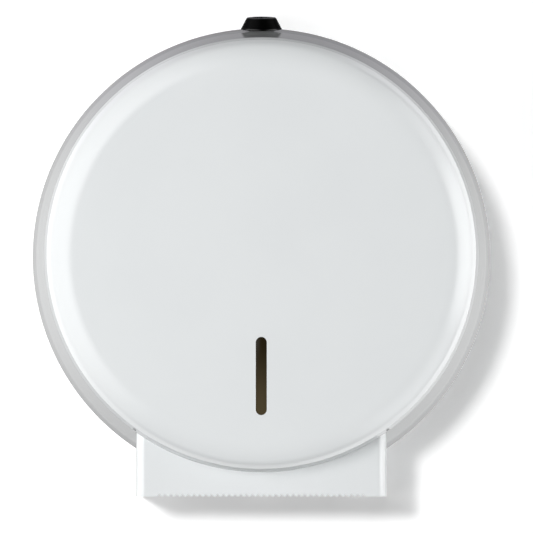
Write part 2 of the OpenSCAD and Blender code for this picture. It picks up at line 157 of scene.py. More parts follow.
class ShaderTree:
    """A node tree that is built from wires."""

    def __init__(self, tree: bpy.types.NodeTree) -> None:
        """Starts from an empty tree."""
        self.tree = tree
        self.tree.nodes.clear()

    def node(self, kind: str, inputs: dict | None = None,
             settings: dict | None = None) -> bpy.types.Node:
        """Adds a node.

        Args:
            kind: The node's type.
            inputs: Values or wires by the socket's name or number.
            settings: Its properties, set before its sockets.

        Returns:
            The node.
        """
        made = self.tree.nodes.new(kind)
        for name, value in (settings or {}).items():
            setattr(made, name, value)
        for name, value in (inputs or {}).items():
            if isinstance(value, Wire):
                self.tree.links.new(value.socket, made.inputs[name])
            else:
                made.inputs[name].default_value = value
        return made

    def add(self, kind: str, inputs: dict | None = None, settings: dict | None = None,
            out: object = 0) -> Wire:
        """Adds a node and returns one of its outputs as a wire."""
        return Wire(self, self.node(kind, inputs, settings).outputs[out])

    def split(self, vector: Wire) -> list[Wire]:
        """Splits a vector into its three shares."""
        return [Wire(self, share) for share in self.node("ShaderNodeSeparateXYZ", {0: vector}).outputs]

    def ray(self, kind: str) -> Wire:
        """1 for rays of a kind, else 0."""
        return self.add("ShaderNodeLightPath", out=f"Is {kind} Ray")

    def place(self) -> Wire:
        """Object coordinates."""
        return self.add("ShaderNodeTexCoord", out="Object")

    def noise(self, scale: float, detail: float = 2.0, stretch: Sequence[float] = (1, 1, 1)) -> Wire:
        """Noise on object coordinates.

        Args:
            scale: Cells per metre.
            detail: Octaves.
            stretch: Scale of the three axes.

        Returns:
            The noise's value, about 0 to 1.
        """
        mapped = self.add("ShaderNodeMapping", {"Vector": self.place(), "Scale": stretch})
        return self.add("ShaderNodeTexNoise", {"Vector": mapped, "Scale": scale, "Detail": detail}, out="Fac")

    def mix(self, amount: object, first: object, second: object) -> Wire:
        """Mixes two colours."""
        made = self.node("ShaderNodeMix", {"Factor": amount}, {"data_type": "RGBA"})
        for socket, value in ((made.inputs[6], first), (made.inputs[7], second)):
            if isinstance(value, Wire):
                self.tree.links.new(value.socket, socket)
            else:
                socket.default_value = value
        return Wire(self, made.outputs[2])

    def ramp(self, value: Wire, low: float, high: float) -> Wire:
        """Maps a value between two bounds to 0 to 1, smoothly."""
        return self.add("ShaderNodeMapRange", {"Value": value, "From Min": low, "From Max": high},
                        {"interpolation_type": "SMOOTHSTEP"})

    def bump(self, height: Wire, distance: float) -> Wire:
        """Turns a height into a normal."""
        return self.add("ShaderNodeBump", {"Height": height, "Distance": distance, "Strength": 1.0})

    def surface(self, shader: Wire) -> None:
        """Links a shader to the material's output."""
        self.node("ShaderNodeOutputMaterial", {"Surface": shader})


def grey(value: float) -> Colour:
    """A neutral colour."""
    return (value, value, value, 1.0)


# Finishes


@dataclass(frozen=True)
class Finish:
    """A named finish, whose shader a subclass draws."""

    name: str

    def make(self) -> bpy.types.Material:
        """Makes the material."""
        material = bpy.data.materials.new(self.name)
        material.use_nodes = True
        tree = ShaderTree(material.node_tree)
        tree.surface(self.draw(tree))
        return material

    def draw(self, tree: ShaderTree) -> Wire:
        """Draws the shader."""
        raise NotImplementedError


@dataclass(frozen=True)
class PowderCoat(Finish):
    """Glossy white powder coat with orange peel, slight mottling and a few rubbed spots.

    Attributes:
        colour: The paint.
        shade: The paint where it lies a little thinner.
        roughness: Roughness of the smooth paint.
        rubbed: What it gains where it is rubbed.
        peel: Height of the orange peel in metres.
    """

    colour: Colour = (0.755, 0.777, 0.784, 1.0)
    shade: Colour = (0.735, 0.757, 0.766, 1.0)
    roughness: float = 0.1
    rubbed: float = 0.06
    peel: float = 0.000012

    def draw(self, tree: ShaderTree) -> Wire:
        """Draws the shader."""
        clouds = tree.ramp(tree.noise(14, 3), 0.35, 0.7)
        handled = tree.ramp(tree.noise(55, 4), 0.56, 0.8)
        grain = tree.noise(620, 2) + tree.noise(1500, 1) * 0.35
        return tree.add("ShaderNodeBsdfPrincipled", {
            "Base Color": tree.mix(clouds * 0.6, self.colour, self.shade),
            "Roughness": handled * self.rubbed + self.roughness,
            "Normal": tree.bump(grain, self.peel),
            "IOR": 1.5,
        })


@dataclass(frozen=True)
class ZincPlate(Finish):
    """Bright zinc plate with rolling marks and a faint stain.

    Attributes:
        colour: The plating.
        stain: Its duller patches.
        roughness: Roughness where it is brightest.
        dulled: What it gains in the patches.
        rolled: What it gains on the rolling marks.
        marks: Height of the rolling marks in metres.
    """

    colour: Colour = (0.62, 0.635, 0.65, 1.0)
    stain: Colour = (0.5, 0.5, 0.49, 1.0)
    roughness: float = 0.25
    dulled: float = 0.12
    rolled: float = 0.1
    marks: float = 0.000006

    def draw(self, tree: ShaderTree) -> Wire:
        """Draws the shader."""
        patches = tree.ramp(tree.noise(90, 4), 0.4, 0.75)
        marks = tree.noise(900, 2, (0.06, 1, 1))
        return tree.add("ShaderNodeBsdfPrincipled", {
            "Base Color": tree.mix(patches, self.colour, self.stain),
            "Metallic": 1.0,
            "Roughness": patches * self.dulled + marks * self.rolled + self.roughness,
            "Normal": tree.bump(marks, self.marks),
        })


@dataclass(frozen=True)
class MouldedPlastic(Finish):
    """Injection-moulded plastic with a fine or a polished skin.

    Attributes:
        colour: The resin.
        shade: The resin where it is scuffed.
        roughness: Roughness of the clean skin.
        scuffed: What it gains where it is scuffed.
        texture: Height of the skin's texture in metres.
    """

    colour: Colour = grey(0.3)
    shade: Colour = grey(0.34)
    roughness: float = 0.4
    scuffed: float = 0.1
    texture: float = 0.00001

    def draw(self, tree: ShaderTree) -> Wire:
        """Draws the shader."""
        scuffs = tree.ramp(tree.noise(160, 5), 0.55, 0.8)
        return tree.add("ShaderNodeBsdfPrincipled", {
            "Base Color": tree.mix(scuffs, self.colour, self.shade),
            "Roughness": scuffs * self.scuffed + self.roughness,
            "Normal": tree.bump(tree.noise(1800, 2), self.texture),
        })


@dataclass(frozen=True)
class BlackLacquer(Finish):
    """Deep black plastic, dull on its flank and worn to a shine on its collar and top.

    Attributes:
        foot: Middle of the lock's foot.
        collar: Height of the shiny collar.
        shoulder: Height above which it shines again.
        fade: Height over which the shine comes and goes.
        shine: Weight of the shine.
        black: The plastic.
        scuff: The plastic where it is scuffed.
        gloss: Strength of the reflection where it is dull.
    """

    foot: Sequence[float] = (0.0, -0.021, 0.177347)
    collar: float = 0.0016
    shoulder: float = 0.0092
    fade: float = 0.0006
    shine: float = 0.35
    black: Colour = grey(0.0008)
    scuff: Colour = grey(0.002)
    gloss: float = 0.012

    def draw(self, tree: ShaderTree) -> Wire:
        """Draws the shader."""
        _, depth, up = tree.split(tree.place())
        height = (up - self.foot[2]) * math.cos(TAPER) - (depth - self.foot[1]) * math.sin(TAPER)
        flank = tree.ramp(height, self.collar, self.collar + self.fade)
        worn = (1 - flank) + tree.ramp(height, self.shoulder, self.shoulder + self.fade)
        scuffs = tree.noise(700, 4)
        return tree.add("ShaderNodeBsdfPrincipled", {
            "Base Color": tree.mix(scuffs, self.black, self.scuff),
            "Roughness": scuffs * 0.1 + 0.2,
            "Specular IOR Level": self.gloss,
            "Coat Weight": worn * self.shine,
            "Coat Roughness": 0.12,
        })


@dataclass(frozen=True)
class SmokedStrip(Finish):
    """Smoked brown strip with painted light from below: its colour grows lighter towards its foot.

    Attributes:
        top: Colour at the top of the slot.
        foot: Colour at its foot, lightened as painted light from below.
        top_z: Height of the top.
        foot_z: Height of the foot.
        gloss: Strength of its reflection.
    """

    top: Colour = (0.0155, 0.0105, 0.0032, 1.0)
    foot: Colour = (0.069, 0.052, 0.0265, 1.0)
    top_z: float = -0.066
    foot_z: float = -0.124
    gloss: float = 0.18

    def draw(self, tree: ShaderTree) -> Wire:
        """Draws the shader."""
        height = tree.split(tree.place())[2]
        # Painted light: the colour is mixed from dark at the top of the slot to lighter at its foot.
        painted_light_mask = tree.ramp(height, self.top_z, self.foot_z)
        haze = tree.noise(240, 3)
        return tree.add("ShaderNodeBsdfPrincipled", {
            "Base Color": tree.mix(painted_light_mask, self.top, self.foot),
            "Roughness": haze * 0.05 + 0.08,
            "Normal": tree.bump(haze, 0.000004),
            "Specular IOR Level": self.gloss,
        })


@dataclass(frozen=True)
class StudioWall(Finish):
    """White wall that keeps the object's shadow and isn't seen from behind.

    Attributes:
        paint: Its diffuse reflectance.
        lift: Light added for what looks at the background.
    """

    paint: float = 0.94
    lift: float = 0.2

    def draw(self, tree: ShaderTree) -> Wire:
        """Draws the shader."""
        looks = tree.ray("Camera").highest(tree.ray("Glossy")).highest(tree.ray("Transmission"))
        front = 1 - tree.add("ShaderNodeNewGeometry", out="Backfacing")
        lit = tree.add("ShaderNodeBsdfDiffuse", {"Color": grey(self.paint)})
        glow = tree.add("ShaderNodeEmission", {"Color": grey(1.0), "Strength": self.lift})
        wall = tree.add("ShaderNodeAddShader", {0: lit, 1: glow})
        clear = tree.add("ShaderNodeBsdfTransparent")
        return tree.add("ShaderNodeMixShader", {"Fac": looks * front, 1: clear, 2: wall})


@dataclass(frozen=True)
class ShadeCard(Finish):
    """Graded card beside the set, which only the gloss mirrors.

    Close to the drum it shades the side wall, darkest above and below. Further out it is light
    at the sides.

    Attributes:
        middle: Glow beside the drum.
        right: What it gains to the right.
        up: What it gains upwards.
        sides: What it gains to the left and right.
        slant: What it gains to the upper right and lower left.
        near: Radius up to which that holds.
        far: Radius at which the outer glow is reached.
        outer: Glow further out.
        outer_right: What the outer glow gains to the right.
        outer_slant: What it gains to the upper right and lower left.
        floor: What it gains at the bottom.
        floor_loss: What the floor loses further out.
        top: What it gains at the top.
        beyond: What it gains at the sides furthest out.
        tint: Colour of the glow at the top.
    """

    middle: float = 0.42
    right: float = -0.035
    up: float = -0.095
    sides: float = 0.334
    slant: float = -0.06
    near: float = 0.198
    far: float = 0.25
    outer: float = 1.34
    outer_right: float = 0.3
    outer_slant: float = -0.81
    floor: float = 1.2
    floor_loss: float = 1.9
    top: float = -0.8
    beyond: float = 4.5
    tint: Colour = (1.0, 0.985, 1.04, 1.0)

    def draw(self, tree: ShaderTree) -> Wire:
        """Draws the shader."""
        across, _, up = tree.split(tree.place())
        reach = (across * across + up * up) ** 0.5
        across, up = across / reach, up / reach
        side, slant = across * across, across * up
        near = (self.middle + across * self.right + up * self.up + side * self.sides
                + slant * self.slant)
        floor = self.floor - tree.ramp(reach, 0.6, 0.9) * self.floor_loss
        outer = (self.outer + across * self.outer_right + slant * self.outer_slant
                 + tree.ramp(up, -0.75, -0.95) * floor + tree.ramp(up, 0.85, 1.0) * self.top
                 + side * tree.ramp(reach, 0.26, 0.45) * self.beyond)
        glow = near + tree.ramp(reach, self.near, self.far) * (outer - near)
        colour = tree.mix(tree.ramp(up, 0.3, 1.0), grey(1.0), self.tint)
        return tree.add("ShaderNodeEmission", {"Color": colour, "Strength": glow})


# Modelling by hand


class Bench:
    """Operators of the modelling bench, on one object at a time."""

    @staticmethod
    def clear() -> None:
        """Deselects everything."""
        if bpy.context.mode != "OBJECT":
            bpy.ops.object.mode_set(mode="OBJECT")
        bpy.ops.object.select_all(action="DESELECT")

    @classmethod
    def take(cls, piece: Piece) -> None:
        """Makes one object the only selected one."""
        cls.clear()
        piece.select_set(True)
        bpy.context.view_layer.objects.active = piece

    @classmethod
    def edit(cls, piece: Piece, mode: str = "FACE") -> None:
        """Opens an object in edit mode with all of it selected."""
        cls.take(piece)
        bpy.ops.object.mode_set(mode="EDIT")
        bpy.ops.mesh.select_mode(type=mode)
        bpy.ops.mesh.select_all(action="SELECT")

    @staticmethod
    def close() -> None:
        """Leaves edit mode."""
        bpy.ops.object.mode_set(mode="OBJECT")

    @staticmethod
    def pick(piece: Piece, test: Callable[[Vector], bool], kind: str = "verts") -> None:
        """Selects the vertices that pass a test, or the edges with both ends passing.

        Args:
            piece: The object in edit mode.
            test: Says whether a place is wanted.
            kind: verts or edges.
        """
        bpy.ops.mesh.select_all(action="DESELECT")
        mesh = bmesh.from_edit_mesh(piece.data)
        for part in getattr(mesh, kind):
            ends = part.verts if kind == "edges" else [part]
            if all(test(end.co) for end in ends):
                part.select_set(True)
        bmesh.update_edit_mesh(piece.data)

    @classmethod
    def modify(cls, piece: Piece, kind: str, **settings: object) -> None:
        """Adds a modifier and applies it."""
        cls.take(piece)
        modifier = piece.modifiers.new(kind.lower(), kind)
        for name, value in settings.items():
            setattr(modifier, name, value)
        bpy.ops.object.modifier_apply(modifier=modifier.name)

    @classmethod
    def cut(cls, piece: Piece, tool: Piece,
            operation: str = "DIFFERENCE") -> None:
        """Cuts a piece with a tool, or joins them, and throws the tool away."""
        cls.modify(piece, "BOOLEAN", object=tool, operation=operation, solver="EXACT")
        bpy.data.objects.remove(tool)

    @classmethod
    def clean(cls, piece: Piece, gap: float = MERGE_GAP) -> None:
        """Merges doubles and points every face outwards."""
        cls.edit(piece)
        bpy.ops.mesh.remove_doubles(threshold=gap)
        bpy.ops.mesh.dissolve_degenerate(threshold=gap)
        bpy.ops.mesh.select_all(action="SELECT")
        bpy.ops.mesh.normals_make_consistent(inside=False)
        cls.close()

    @classmethod
    def smooth(cls, piece: Piece, degrees: float = 30, flats: bool = False) -> None:
        """Shades smoothly except at edges sharper than an angle.

        Args:
            piece: The object.
            degrees: The angle.
            flats: Keeps large faces flat up to their eased edges.
        """
        cls.take(piece)
        bpy.ops.object.shade_smooth_by_angle(angle=math.radians(degrees))
        if flats:
            cls.modify(piece, "WEIGHTED_NORMAL", keep_sharp=True, mode="FACE_AREA", weight=100)

    @classmethod
    def ease(cls, piece: Piece, width: float, degrees: float = 40) -> None:
        """Rounds a piece's edges that are sharper than an angle, by a width in mm."""
        cls.modify(piece, "BEVEL", width=width * MM, segments=2, limit_method="ANGLE",
                   angle_limit=math.radians(degrees), use_clamp_overlap=True, harden_normals=False)

    @classmethod
    def outline(cls, name: str, corners: Sequence[Vector]) -> Piece:
        """Traces a closed outline and fills it.

        Args:
            name: The new object's name.
            corners: The corners in order.

        Returns:
            The flat face, in edit mode.
        """
        cls.clear()
        bpy.ops.mesh.primitive_plane_add(size=MM, location=(0, 0, 0))
        piece = bpy.context.object
        piece.name = piece.data.name = name
        cls.edit(piece, "VERT")
        bpy.ops.mesh.merge(type="CENTER")
        bpy.ops.transform.translate(value=corners[0])
        for here, there in zip(corners, corners[1:]):
            bpy.ops.mesh.extrude_region_move(TRANSFORM_OT_translate={"value": there - here})
        bpy.ops.mesh.select_all(action="SELECT")
        bpy.ops.mesh.edge_face_add()
        return piece

    @classmethod
    def round_corner(cls, piece: Piece, corner: Vector, offset: float, segments: int) -> None:
        """Rounds one corner of a flat outline in edit mode."""
        cls.pick(piece, lambda place: (place - corner).length < CUT_GAP)
        bpy.ops.mesh.bevel(offset=offset, offset_type="OFFSET", segments=segments, affect="VERTICES",
                           profile=0.5)

    @classmethod
    def spin(cls, piece: Piece, steps: int, axis: Vector) -> None:
        """Turns the outline in edit mode all the way round an axis through the origin."""
        bpy.ops.mesh.select_all(action="SELECT")
        bpy.ops.mesh.delete(type="ONLY_FACE")
        bpy.ops.mesh.select_all(action="SELECT")
        bpy.ops.mesh.spin(steps=steps, angle=TURN, center=(0, 0, 0), axis=axis)
        cls.close()
        cls.clean(piece)

    @classmethod
    def drum_turned(cls, name: str, section: Sequence[Point], steps: int = 256) -> Piece:
        """Turns a section, given as radius against depth in mm, about the drum's axis."""
        piece = cls.outline(name, [Vector((r * MM, -depth * MM, 0)) for r, depth in section])
        cls.spin(piece, steps, Vector((0, 1, 0)))
        return piece

    @classmethod
    def upright_turned(cls, name: str, section: Sequence[Point], steps: int = 96) -> Piece:
        """Turns a section, given as radius against height in mm, about the Z axis."""
        piece = cls.outline(name, [Vector((r * MM, 0, z * MM)) for r, z in section])
        cls.spin(piece, steps, Vector((0, 0, 1)))
        return piece

    @classmethod
    def extrude(cls, piece: Piece, along: Vector) -> Piece:
        """Extrudes the outline in edit mode along a direction."""
        bpy.ops.mesh.select_all(action="SELECT")
        bpy.ops.mesh.extrude_region_move(TRANSFORM_OT_translate={"value": along})
        cls.close()
        cls.clean(piece)
        return piece

    @classmethod
    def prism(cls, name: str, corners: Sequence[Vector], along: Vector) -> Piece:
        """Extrudes a closed outline along a direction."""
        return cls.extrude(cls.outline(name, corners), along)

    @staticmethod
    def settle(name: str) -> Piece:
        """Names the new object and applies its place, turn and scale."""
        bpy.ops.object.transform_apply(location=True, rotation=True, scale=True)
        piece = bpy.context.object
        piece.name = piece.data.name = name
        return piece

    @classmethod
    def rod(cls, name: str, radius: float, length: float, place: Sequence[float], axis: Axis,
            sides: int = 48) -> Piece:
        """Adds a round cutter or pin, sizes and place in mm."""
        cls.clear()
        bpy.ops.mesh.primitive_cylinder_add(vertices=sides, radius=radius * MM, depth=length * MM,
                                            location=[p * MM for p in place], rotation=axis.value)
        return cls.settle(name)

    @classmethod
    def block(cls, name: str, low: Sequence[float], high: Sequence[float]) -> Piece:
        """Adds a box-shaped cutter between two corners in mm."""
        cls.clear()
        middle = [(a + b) / 2 * MM for a, b in zip(low, high)]
        bpy.ops.mesh.primitive_cube_add(size=1, location=middle)
        bpy.context.object.scale = [(b - a) * MM for a, b in zip(low, high)]
        return cls.settle(name)

    @classmethod
    def obround(cls, name: str, width: float, length: float, middle_z: float, depths: Point,
                segments: int = 16) -> Piece:
        """Makes an upright bar with round ends between two depths, in mm."""
        half, low, high = width / 2, middle_z - length / 2, middle_z + length / 2
        corners = [Vector((x * MM, -depths[0] * MM, z * MM))
                   for x, z in ((-half, low), (half, low), (half, high), (-half, high))]
        piece = cls.outline(name, corners)
        for corner in corners:
            cls.round_corner(piece, corner, (half - 0.001) * MM, segments)
        return cls.extrude(piece, Vector((0, -(depths[1] - depths[0]) * MM, 0)))

    @classmethod
    def finished_copy(cls, node: Piece, name: str) -> Piece:
        """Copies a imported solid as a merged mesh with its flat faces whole."""
        cls.clear()
        piece = bpy.data.objects.new(name, node.data.copy())
        piece.data.name = name
        bpy.context.scene.collection.objects.link(piece)
        piece.data.materials.clear()
        cls.clean(piece, CUT_GAP)
        cls.edit(piece)
        bpy.ops.mesh.dissolve_limited(angle_limit=FLAT_ANGLE)
        cls.close()
        return piece


# Sub-assemblies


@dataclass
class Dresser:
    """Gives pieces their material, body and slot, and reports them."""

    frame: dict
    finishes: dict[Slot, bpy.types.Material] = field(default_factory=dict)

    def paint(self) -> None:
        """Makes the finishes."""
        self.finishes = {
            Slot.POWDER_COAT: PowderCoat("white_powder_coat").make(),
            Slot.ZINC: ZincPlate("bright_zinc_plate").make(),
            Slot.BLACK: BlackLacquer("polished_black_plastic").make(),
            Slot.SMOKED: SmokedStrip("smoked_brown_strip").make(),
            Slot.NYLON: MouldedPlastic("natural_nylon", colour=(0.72, 0.69, 0.6, 1),
                                       shade=(0.66, 0.62, 0.52, 1), roughness=0.38).make(),
            Slot.HUB_GREY: MouldedPlastic("grey_hub_plastic", colour=(0.27, 0.28, 0.3, 1),
                                          shade=(0.31, 0.32, 0.34, 1), roughness=0.42,
                                          texture=0.00002).make(),
        }

    def dress(self, piece: Piece, body: Body, slot: Slot, *nodes: str) -> None:
        """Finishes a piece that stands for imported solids.

        Args:
            piece: The finished mesh.
            body: The body that it rides on.
            slot: Its material slot.
            nodes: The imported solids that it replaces.
        """
        piece.data.materials.clear()
        piece.data.materials.append(self.finishes[slot])
        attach(piece, body.value)
        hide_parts(*nodes)
        LOG.info("piece %s on %s: %d faces", piece.name, body.value, len(piece.data.polygons))

    def refine(self, body: Body, slot: Slot, *rows: tuple[str, str, float]) -> None:
        """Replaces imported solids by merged, smoothed copies.

        Args:
            body: The body that they ride on.
            slot: Their material slot.
            rows: Each solid's node, the piece's name, and the width in mm that its edges are eased by.
        """
        for node, name, ease in rows:
            piece = Bench.finished_copy(self.frame["nodes"][node], name)
            if ease:
                Bench.ease(piece, ease)
            Bench.smooth(piece, 35, flats=True)
            self.dress(piece, body, slot, node)


@dataclass
class Drum:
    """The cover's pan and side wall, and the strip behind the slot. Sizes in mm."""

    wall_r: float = WALL_R
    depth: float = 132.0
    seam: float = 104.0
    slope: float = math.tan(TAPER)
    sheet: float = 1.2
    corner_r: float = 1.5
    corner_turn: float = math.radians(54)
    tight_r: float = 12.0
    crown_r: float = 34.0
    crown_turn: float = math.radians(28)
    lip_step: float = 1.8
    lip_run: float = 4.5
    rim_lap: float = 5.5
    seat_gap: float = 0.15
    wall_gap: float = 1.0
    hem: float = 7.0
    slot_w: float = 8.5
    slot_len: float = 60.0
    slot_z: float = -93.967
    chute_w: float = 193.5
    notch_gap: float = 0.3
    relief_r: float = 3.0
    relief_slit_r: float = 1.5
    slot_ease: float = 0.4
    strip_lap: float = 4.0
    strip_t: float = 1.5
    lock_hole_r: float = 10.2
    face_ring: float = 110.0
    arc_steps: int = 9

    @property
    def rim_top(self) -> float:
        """Depth at which the pan's rim ends and its step begins."""
        return self.seam + self.rim_lap

    @property
    def step_top(self) -> float:
        """Depth at which the pan's side wall begins."""
        return self.rim_top + self.lip_run

    @property
    def pan_wall_r(self) -> float:
        """Outer radius of the pan's side wall."""
        return self.band_r(self.rim_top) + self.sheet - self.lip_step

    @property
    def face_in(self) -> float:
        """Depth of the inside of the pan's face."""
        return self.depth - self.sheet

    def band_r(self, depth: float) -> float:
        """Outer radius of the side wall at a depth."""
        return self.wall_r - self.slope * depth

    def notch_corner(self) -> Point:
        """Where the side wall's notch for the chute meets the pan, across and up."""
        half = self.chute_w / 2 + self.notch_gap
        return half, -math.sqrt(self.band_r(self.seam) ** 2 - half ** 2)

    def edge(self, inset: float) -> list[Point]:
        """The pan's rounded edge from the side wall to the face, moved inwards by an inset."""
        tight_x = self.pan_wall_r - self.tight_r
        gap = self.crown_r - self.tight_r
        tight_y = self.depth - self.crown_r + gap * math.cos(self.crown_turn)
        large_x = tight_x - gap * math.sin(self.crown_turn)
        large_y = self.depth - self.crown_r
        corner_x = self.pan_wall_r - self.corner_r
        lean = self.tight_r - self.corner_r - (corner_x - tight_x) * math.sin(self.corner_turn)
        corner_y = tight_y + lean / math.cos(self.corner_turn)
        points = []
        for x, y, radius, start, end in (
                (corner_x, corner_y, self.corner_r, math.pi / 2, self.corner_turn),
                (tight_x, tight_y, self.tight_r, self.corner_turn, self.crown_turn),
                (large_x, large_y, self.crown_r, self.crown_turn, 0.0)):
            first = 0 if radius == self.corner_r else 1
            for i in range(first, self.arc_steps + 1):
                turn = start + (end - start) * i / self.arc_steps
                points.append((x + (radius - inset) * math.sin(turn), y + (radius - inset) * math.cos(turn)))
        return points

    def pan(self) -> Piece:
        """Models the pressed pan."""
        seam_r, rim_r = self.band_r(self.seam), self.band_r(self.rim_top)
        outer = [(seam_r + self.sheet, self.seam), (seam_r + self.sheet, self.seam + 0.4),
                 (rim_r + self.sheet + 0.05, self.rim_top - 0.5),
                 (rim_r + self.sheet - 0.35, self.rim_top + 0.1),
                 (self.pan_wall_r + 0.35, self.step_top - 0.35), (self.pan_wall_r, self.step_top + 0.35)]
        inner = [(self.pan_wall_r - self.sheet, self.step_top), (rim_r + self.seat_gap, self.rim_top),
                 (seam_r + self.seat_gap, self.seam)]
        outer_edge, inner_edge = self.edge(0), self.edge(self.sheet)
        face = [(outer_edge[-1][0] - 1.0, self.depth), (self.face_ring, self.depth), (0, self.depth),
                (0, self.face_in), (self.face_ring, self.face_in),
                (inner_edge[-1][0] - 1.0, self.face_in)]
        piece = Bench.drum_turned("pan_shell", outer + outer_edge + face + inner_edge[::-1] + inner)
        corner = self.notch_corner()
        for side in (-1, 1):
            place = (side * (corner[0] + 1.0), -(self.rim_top + 0.5), corner[1])
            Bench.cut(piece, Bench.rod("slit_drill", self.relief_slit_r, 14, place, Axis.Y, 32))
        slot = Bench.obround("slot_punch", self.slot_w, self.slot_len, self.slot_z,
                             (self.face_in - 2, self.depth + 2))
        Bench.cut(piece, slot)
        Bench.clean(piece, CUT_GAP)
        Bench.edit(piece, "EDGE")
        self.pick_rim(piece, 0.05)
        bpy.ops.mesh.bevel(offset=self.slot_ease * MM, segments=5, affect="EDGES", profile=0.5)
        self.pick_rim(piece, self.slot_ease + 0.1)
        bpy.ops.mesh.mark_sharp()
        Bench.close()
        Bench.smooth(piece, 28)
        return piece

    def pick_rim(self, piece: Piece, margin: float) -> None:
        """Selects the slot's edges on the pan's face that lie within a margin of it, in edit mode."""
        near = -self.depth * MM + MERGE_GAP
        across, along = self.slot_w / 2 + margin, self.slot_len / 2 + margin
        Bench.pick(piece, lambda p: p.y < near and abs(p.x) < across * MM
                   and abs(p.z - self.slot_z * MM) < along * MM, "edges")

    def band(self) -> Piece:
        """Models the rolled side wall with its hem, notch and lock hole."""
        back, front, hem_top = self.wall_gap, self.rim_top - 0.5, self.wall_gap + self.hem
        one, two = self.sheet, 2 * self.sheet
        outside = [(self.band_r(back) - 0.5, back), (self.band_r(back + 0.15) - 0.12, back + 0.15)]
        outside += [(self.band_r(depth), depth) for depth in (back + 0.6, 40, 75, front)]
        inside = [(self.band_r(depth) - one, depth) for depth in (front, 40, hem_top)]
        hem = [(self.band_r(hem_top) - two + 0.3, hem_top), (self.band_r(hem_top) - two, hem_top - 0.4),
               (self.band_r(back) - two, back + 0.6), (self.band_r(back) - two + 0.5, back)]
        piece = Bench.drum_turned("band_wall", outside + inside + hem)
        half, foot = self.notch_corner()
        Bench.cut(piece, Bench.block("notch_saw", (-half, -150, -200), (half, 5, 0)))
        for side in (-1, 1):
            drill = Bench.rod("relief_drill", self.relief_r, 20, (0, 0, 0), Axis.Z)
            out = Vector((side * half, 0, foot)).normalized()
            drill.data.transform(Matrix.Translation(Vector((side * half, -(self.seam - 2), foot)) * MM)
                                 @ out.to_track_quat("Z", "Y").to_matrix().to_4x4())
            Bench.cut(piece, drill)
        hole = Bench.rod("lock_drill", self.lock_hole_r, 10, (0, 0, 0), Axis.Z, 64)
        hole.data.transform(Lock().place())
        Bench.cut(piece, hole)
        Bench.clean(piece, CUT_GAP)
        Bench.smooth(piece, 25)
        return piece

    def strip(self) -> Piece:
        """Models the smoked strip behind the slot."""
        lap = 2 * self.strip_lap
        piece = Bench.obround("slot_strip", self.slot_w + lap, self.slot_len + lap, self.slot_z,
                              (self.face_in - self.strip_t, self.face_in))
        Bench.ease(piece, 0.15)
        Bench.smooth(piece)
        return piece

    def build(self, dresser: Dresser) -> None:
        """Builds the drum's pieces."""
        dresser.dress(self.pan(), Body.COVER, Slot.POWDER_COAT, "front_pan")
        dresser.dress(self.band(), Body.COVER, Slot.POWDER_COAT, "side_band")
        dresser.dress(self.strip(), Body.COVER, Slot.SMOKED, "view_window")
        dresser.refine(Body.COVER, Slot.ZINC, ("window_retainer", "strip_frame", 0.12),
                       ("window_studs", "strip_studs", 0.15), ("window_nuts", "strip_nuts", 0.15))


